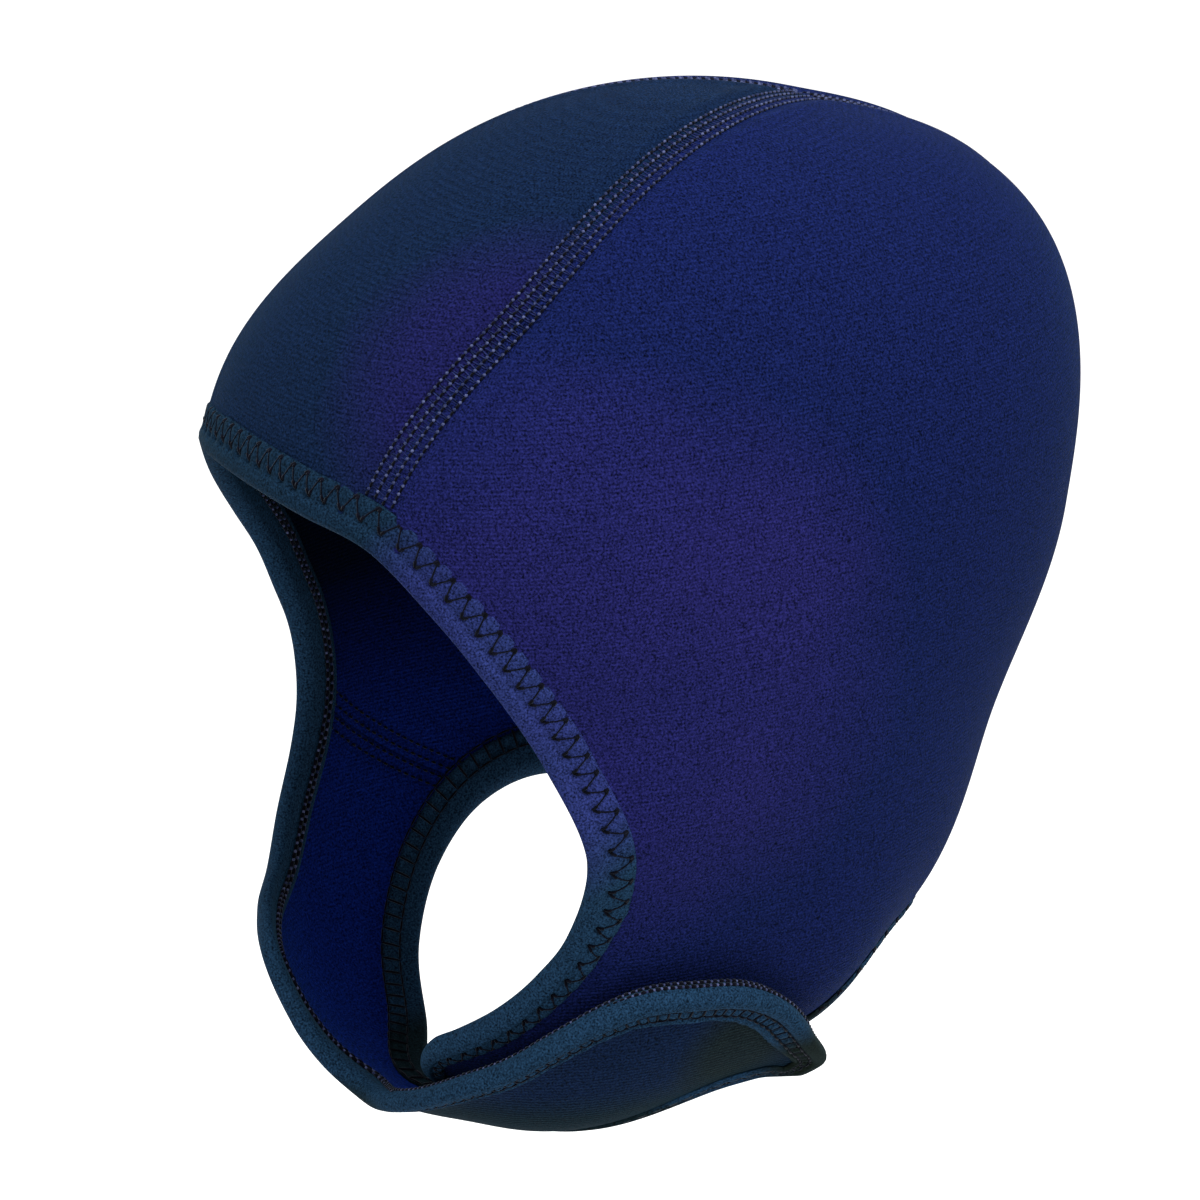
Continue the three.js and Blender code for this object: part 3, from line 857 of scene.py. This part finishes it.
class Fabric:
    """A new fabric material and its nodes, whose textures follow the frame in metres."""

    def __init__(self, name, roughness, sheen, sheen_tint):
        self.material = bpy.data.materials.new(name)
        self.material.use_nodes = True
        self.nodes = self.material.node_tree.nodes
        self.links = self.material.node_tree.links
        self.sockets = self.nodes["Principled BSDF"].inputs
        for socket, value in (
            ("Roughness", roughness), ("Specular IOR Level", SPECULAR), ("Sheen Weight", sheen),
            ("Sheen Roughness", SHEEN_ROUGHNESS), ("Sheen Tint", (*sheen_tint, 1)),
        ):
            self.sockets[socket].default_value = value
        self.coordinates = self.nodes.new("ShaderNodeTexCoord").outputs["Object"]
        self.normal = None

    def node(self, kind, inputs, **properties):
        """A new shader node with its properties set and its inputs set or linked."""
        node = self.nodes.new("ShaderNode" + kind)
        for name, value in properties.items():
            setattr(node, name, value)
        for name, value in inputs.items():
            if isinstance(value, bpy.types.NodeSocket):
                self.links.new(value, node.inputs[name])
            else:
                node.inputs[name].default_value = value
        return node

    def noise(self, scale, detail):
        inputs = {"Vector": self.coordinates, "Scale": scale, "Detail": detail}
        return self.node("TexNoise", inputs).outputs["Fac"]

    def courses(self):
        """Fine knit courses, one above the other."""
        inputs = {
            "Vector": self.coordinates, "Scale": WAVE_LENGTH / COURSE_PITCH,
            "Distortion": 1.6, "Detail": 1.0, "Detail Scale": 3.0,
        }
        return self.node("TexWave", inputs, bands_direction="Z").outputs["Fac"]

    def ramp(self, factor, stops):
        """A colour that goes through (share, colour) stops."""
        node = self.node("ValToRGB", {"Fac": factor})
        elements = node.color_ramp.elements
        for position, _ in stops[2:]:
            elements.new(position)
        for element, (position, colour) in zip(elements, stops):
            element.position = position
            element.color = (*colour, 1)
        return node.outputs["Color"]

    def blended(self, mode, factor, a, b):
        inputs = {"Factor": factor, "A": a, "B": b}
        node = self.node("Mix", inputs, data_type="RGBA", blend_type=mode)
        return node.outputs["Result"]

    def multiplied(self, a, b):
        return self.blended("MULTIPLY", 1.0, a, b)

    def speckled(self, speckle, colour):
        """A colour broken up by the knit's speckle."""
        dark, light = (tuple(f * c for c in colour) for f in SPECKLE_RANGE)
        return self.ramp(speckle, [(0.3, dark), (0.72, light)])

    def from_centre(self, centre, reach):
        """0 up to the first reach from a point of the object, 1 from the second on."""
        ends = {0: self.coordinates, 1: centre}
        distance = self.node("VectorMath", ends, operation="DISTANCE").outputs["Value"]
        inputs = {"From Min": reach[0], "From Max": reach[1], "Value": distance}
        node = self.node("MapRange", inputs, interpolation_type="SMOOTHSTEP")
        return node.outputs["Result"]

    def by_height(self, low, high, stops):
        """A shade that goes through stops between two heights on the object."""
        height = self.node("SeparateXYZ", {"Vector": self.coordinates}).outputs["Z"]
        inputs = {"From Min": low, "From Max": high, "Value": height}
        return self.ramp(self.node("MapRange", inputs).outputs["Result"], stops)

    def drifting(self, drift, away):
        """Share of the second hue: a distance with uneven edges."""
        inputs = {0: drift, 1: DRIFT, 2: away}
        total = self.node("Math", inputs, operation="MULTIPLY_ADD").outputs["Value"]
        return self.ramp(total, [(0.4, (0, 0, 0)), (1.0, WHITE)])

    def paint(self, colour):
        self.links.new(colour, self.sockets["Base Color"])

    def emboss(self, height, strength, depth):
        """Adds bump, its depth in metres, on top of what is embossed already."""
        inputs = {"Strength": strength, "Distance": depth, "Height": height}
        if self.normal:
            inputs["Normal"] = self.normal
        self.normal = self.node("Bump", inputs).outputs["Normal"]
        self.links.new(self.normal, self.sockets["Normal"])


def jersey(name, near, far, hue, heights=None):
    """Fine knitted jersey on foam: courses, speckle, and painted light and shade, as one colour that
    drifts into another away from a centre and, where heights are given, a shade over them.
    """
    fabric = Fabric(name, roughness=0.85, sheen=0.03, sheen_tint=(0.1, 0.45, 0.8))
    speckle = fabric.noise(scale=2100, detail=3.0)
    drift = fabric.noise(scale=16, detail=2.0)
    courses = fabric.courses()
    away = fabric.drifting(drift, fabric.from_centre(**hue))
    near, far = (fabric.speckled(speckle, colour) for colour in (near, far))
    shade = fabric.ramp(courses, [(0.2, (0.84, 0.84, 0.87)), (0.8, WHITE)])
    if heights:
        shade = fabric.multiplied(shade, fabric.by_height(*heights))
    fabric.paint(fabric.multiplied(fabric.blended("MIX", away, near, far), shade))
    fabric.emboss(courses, strength=0.4, depth=0.0003)
    fabric.emboss(speckle, strength=0.7, depth=0.0004)
    return fabric.material


def stretch_tape():
    """A finer weave than jersey, with painted sheen and shade as blue beside the face drifting to
    teal, painted shade on the tail's tip and underside, and darker on the forehead.
    """
    fabric = Fabric("stretch_tape", roughness=0.8, sheen=0.03, sheen_tint=(0.15, 0.5, 0.7))
    speckle = fabric.noise(scale=2200, detail=3.0)
    drift = fabric.noise(scale=24, detail=2.0)
    away = fabric.drifting(drift, fabric.from_centre(**TAPE_HUE))
    blue = fabric.speckled(speckle, (0.0125, 0.018, 0.082))
    teal = fabric.speckled(speckle, (0.006, 0.0195, 0.042))
    # Painted shade: the tail's tip turns dark olive and the underside darker and olive; the forehead
    # is darker
    tip = fabric.ramp(fabric.from_centre(**TAPE_TIP_SHADE), [(0, (0.6, 0.3, 0.1)), (1, WHITE)])
    underside, forehead = (0.5, 0.4, 0.25), (0.6, 0.62, 0.62)
    levels = [(0, underside), (0.03, underside), (0.05, WHITE), (0.8, WHITE), (1, forehead)]
    shade = fabric.multiplied(tip, fabric.by_height(*TAPE_SHADE_HEIGHTS, levels))
    fabric.paint(fabric.multiplied(fabric.blended("MIX", away, blue, teal), shade))
    fabric.emboss(speckle, strength=0.6, depth=0.0003)
    return fabric.material


def nylon_thread(name, dark, light, scale=900):
    """Textured nylon thread."""
    fabric = Fabric(name, roughness=0.55, sheen=0.1, sheen_tint=(0.5, 0.6, 0.7))
    speckle = fabric.noise(scale, detail=2.0)
    fabric.paint(fabric.ramp(speckle, [(0.4, dark), (0.66, light)]))
    fabric.emboss(speckle, strength=0.4, depth=0.0002)
    return fabric.material


def plain_surface(name, colour, roughness):
    fabric = Fabric(name, roughness, sheen=0.0, sheen_tint=WHITE)
    speckle = fabric.noise(scale=900, detail=2.0)
    darker = tuple(0.9 * c for c in colour)
    fabric.paint(fabric.ramp(speckle, [(0.3, darker), (0.7, colour)]))
    return fabric.material


def lining_jersey():
    """Plain blue jersey with painted shade that darkens it up into the crown."""
    # Painted shade: darker up into the crown
    levels = ((0, 1.0), (0.45, 0.8), (0.62, 0.45), (0.82, 0.07), (1, 0.05))
    painted_crown_shade = [(level, (shade, shade, shade)) for level, shade in levels]
    return jersey("lining_jersey", (0.003, 0.013, 0.15), (0.0018, 0.009, 0.095), PANEL_HUE,
                  (*LINING_SHADE_HEIGHTS, painted_crown_shade))


def side_jersey():
    """Purple-blue in the middle of the panel, drifting to a darker, greener navy at its rim: painted
    sheen and shade.
    """
    return jersey("side_jersey", (0.0092, 0.0088, 0.061), (0.0036, 0.0068, 0.043), PANEL_HUE)


def crown_jersey():
    """Navy with a purple patch beside the seam, drifting to a darker teal navy away from it: painted
    sheen and shade.
    """
    return jersey("crown_jersey", (0.0058, 0.0064, 0.043), (0.0028, 0.0084, 0.028), CROWN_HUE)


def strap_jersey():
    """Navy with a painted olive shadow under the lip near the tail, and painted olive shade on the
    underside.
    """
    # Painted shade: an olive tint over the underside, and the near colour is a painted olive shadow
    # under the lip
    underside = [(0, (1.0, 0.95, 0.35)), (0.5, (1.0, 0.95, 0.4)), (0.85, WHITE)]
    return jersey("strap_jersey", (0.0045, 0.0078, 0.008), (0.0026, 0.0072, 0.024), STRAP_SHADOW,
                  (*STRAP_SHADE_HEIGHTS, underside))


def build_looks():
    lining = lining_jersey()
    return {
        "side": [side_jersey(), lining],
        "crown": [crown_jersey(), lining],
        "strap": [strap_jersey(), lining],
        "tape": stretch_tape(),
        "dark": nylon_thread("dark_thread", (0.0006, 0.0006, 0.002), (0.002, 0.0022, 0.006)),
        "navy": nylon_thread("navy_thread", (0.004, 0.007, 0.034), (0.011, 0.016, 0.075)),
        "light": nylon_thread("light_thread", (0.014, 0.019, 0.055), (0.062, 0.074, 0.155), 600),
        "pad": plain_surface("hook_and_loop", (0.004, 0.0045, 0.008), 0.95),
        "floor": plain_surface("pale_floor", (0.95, 0.95, 0.95), 0.9),
    }


# Pieces

def seam_relief(*lines):
    """Relief of cloth: sunk along its seams, with a puff beside them and faint waves."""
    line = np.concatenate(lines)

    def relief(points):
        from_band = distance_to(points, line) - SEAM_BAND
        sink = -SEAM_SINK * (1 - smooth(*SEAM_SLOPE, from_band))
        puff = bell(from_band - PUFF_LINE, *PUFF)
        x, y, z = np.moveaxis(points / WAVE_LENGTHS, -1, 0)
        return sink + puff + WAVE_HEIGHT * np.sin(x + WAVE_SHIFT) * np.sin(y + z)

    return relief


def as_sheet(piece, rests_on):
    """Looks up the size a piece is cut to; nothing is done with it."""
    _, flat, area = CLOTH[piece.name]


def build_cloth(looks):
    """Crown strip, both panels and strap; returns the line of the seam under the chin."""
    first, last = math.radians(RELIEF_ANGLE), math.radians(BACK_END_ANGLE)
    left_seam, right_seam = (seam_points(side, first, last) for side in (1, -1))
    chin_seam = on_form(right_patch()(np.linspace(0, 1, CHIN_SAMPLES), np.ones(CHIN_SAMPLES)))
    beside_strip = seam_relief(left_seam, right_seam)
    right_relief = seam_relief(right_seam, chin_seam)
    strap_relief = seam_relief(chin_seam)
    pieces = (
        ("crown", "crown_strip", crown_patch(), zero, beside_strip, "crown", ("left", "right")),
        ("left", "left_side_panel", left_patch(), left_lift, beside_strip, "side", ("crown", "right")),
        ("right", "right_side_panel", right_patch(), zero, right_relief, "side", ("crown", "left")),
        ("strap", "chin_strap", strap_patch(), strap_lift, strap_relief, "strap", ("right", "left")),
    )
    for name, node, patch, lift, relief, look, neighbours in pieces:
        piece = cloth(name + "_cloth", patch, lift, relief, looks[look], node)
        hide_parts(node)
        as_sheet(piece, [neighbour + "_cloth" for neighbour in neighbours])
    return chin_seam


def build_fastening(look):
    strap = strap_patch()

    def patch(u, v):
        along = PATCH["from"] + (PATCH["to"] - PATCH["from"]) * u
        return strap(along, PATCH["front"] + (PATCH["back"] - PATCH["front"]) * v)

    piece = cloth("hook_and_loop", patch, tail_lift, zero, [look], "fastening_patch",
                  outer=-WALL - PATCH["gap"], inner=-LAP + PATCH["gap"])
    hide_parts("fastening_patch")
    as_sheet(piece, ["strap_cloth", "left_cloth"])


def build_edge(looks):
    tape = Tape()
    piece = edge_tape(tape, looks["tape"])
    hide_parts("edge_binding")
    as_sheet(piece, ["crown_cloth", "left_cloth", "right_cloth", "strap_cloth"])
    build_zigzag(tape, looks)
    build_ladder(tape, looks)
    build_chain(tape, looks)


def build_zigzag(tape, looks):
    for name, (first, last, rise) in ZIGZAG_THREADS.items():
        threads(name, zigzag_paths(tape, first, last, rise), looks["dark"])


def build_ladder(tape, looks):
    """The ladder stitch, outside on the strap and inside along the neck."""
    sides = (
        (True, lambda along: tape.on_strap(along) > 0.5),
        (False, lambda along: tape.is_in(NECK_RUNS, along)),
    )
    rungs = []
    for outside, shown in sides:
        rungs += rung_paths(tape, outside, shown)
    threads("ladder_rungs", rungs, looks["dark"])
    rails = []
    for line in LADDER_SPAN:
        for outside, shown in sides:
            rails += running_paths(tape, line, LADDER_PITCH, RAIL_LENGTH, outside, shown, RAIL_SHIFT)
    threads("ladder_rails", rails, looks["dark"])


def build_chain(tape, looks):
    """Dark stitches in two lines beside the fold, with light thread between them."""
    def shown(along):
        return tape.is_in(FACE_RUNS, along)

    for number, (look, length) in enumerate(CHAIN_LENGTHS.items()):
        paths = []
        for row, line in enumerate(CHAIN_LINES):
            shift = 0.5 * CHAIN_PITCH * (row + number)
            paths += running_paths(tape, line, CHAIN_PITCH, length, False, shown, shift)
        threads("chain_" + look, paths, looks[look])


def build_seams(chin_seam, looks):
    """Stitches on both faces of each seam, light specks between them, and the crossing thread."""
    first, middle, last = np.radians((STITCH_ANGLE, STRIP_END_ANGLE, BACK_END_ANGLE))
    back_seam = at_angle(np.zeros(SEAM_SAMPLES), np.linspace(middle, last, SEAM_SAMPLES))
    seams = (
        ("left_seam", seam_points(1, first, middle), "left_side_panel"),
        ("right_seam", seam_points(-1, first, middle), "right_side_panel"),
        ("back_seam", back_seam, "left_side_panel"),
        ("chin_seam", chin_seam, "chin_strap"),
    )
    for name, line, slot in seams:
        outside = seam_stitches(line, STITCH_RISE - SEAM_SINK, STITCH_LENGTH)
        inside = seam_stitches(line, -LINING_DEPTH, STITCH_LENGTH)
        specks = seam_stitches(line, SPECK_RISE - SEAM_SINK, SPECK_LENGTH, 0.5 * STITCH_PITCH)
        looper = [looper_path(line, LOOPER_RISE - SEAM_SINK)]
        for kind, paths, look in (
            ("stitches", outside + inside, "dark"),
            ("specks", specks, "light"),
            ("looper", looper, "navy"),
        ):
            threads(kind, paths, looks[look], slot, prefix=name + "_")


# Floor, light and camera

def build_floor(look):
    size = FLOOR_HALF
    z = cad_box[0][2] - FLOOR_DROP
    corners = [(-size, -size, z), (size, -size, z), (size, size, z), (-size, size, z)]
    floor = mesh_object("floor", corners, [(0, 1, 2, 3)], [look])


def view_axes():
    """The photograph's view: the ways right, up and back towards the camera."""
    sa, ca, se, ce = (f(a) for a in (AZIMUTH, ELEVATION) for f in (math.sin, math.cos))
    back = np.array([sa * ce, -ca * ce, se])
    right = np.array([ca, sa, 0])
    up = np.cross(back, right)
    sine, cosine = math.sin(ROLL_OF_VIEW), math.cos(ROLL_OF_VIEW)
    return cosine * right + sine * up, -sine * right + cosine * up, back


def placed(name, data, axes, place):
    """A new object with its x, y and z along three axes, at a place in metres."""
    holder = bpy.data.objects.new(name, data)
    rows = [[axis[k] for axis in axes] + [place[k]] for k in range(3)]
    holder.matrix_world = Matrix(rows + [[0, 0, 0, 1]])
    bpy.context.scene.collection.objects.link(holder)
    return holder


def build_camera():
    right, up, back = view_axes()
    place = DISTANCE * back - OFFSET[0] * right - OFFSET[1] * up + [0, 0, FORM_RISE]
    camera = bpy.data.cameras.new("camera")
    camera.sensor_fit = "HORIZONTAL"
    camera.sensor_width = SENSOR
    camera.lens = SENSOR * FOCAL_PIXELS / PHOTO_PIXELS
    camera.clip_end = 200
    bpy.context.scene.camera = placed("camera", camera, (right, up, back), place * MM)


def area_light(name, right_up_back, power, size):
    """A soft square light at so many metres right, up and back in the photograph's view."""
    place = sum(axis * m for axis, m in zip(view_axes(), right_up_back)) + LIGHT_TARGET
    light = bpy.data.lights.new(name, "AREA")
    light.energy = power
    light.size = size
    away = unit(place - np.array(LIGHT_TARGET))
    side = unit(np.cross([0, 0, 1], away))
    placed(name, light, (side, np.cross(away, side), away), place)


def build_light():
    world = bpy.data.worlds.new("studio")
    bpy.context.scene.world = world
    world.use_nodes = True
    background = world.node_tree.nodes["Background"]
    background.inputs["Color"].default_value = (*WHITE, 1)
    background.inputs["Strength"].default_value = 1.12
    area_light("key", right_up_back=(0.1, 1.0, 0.8), power=24, size=0.7)
    area_light("fill", right_up_back=(0.9, 0.3, 0.9), power=5, size=0.8)
    bpy.context.scene.view_settings.view_transform = "Standard"


looks = build_looks()
build_camera()
build_light()
build_floor(looks["floor"])
chin_seam_line = build_cloth(looks)
build_fastening(looks["pad"])
build_edge(looks)
build_seams(chin_seam_line, looks)
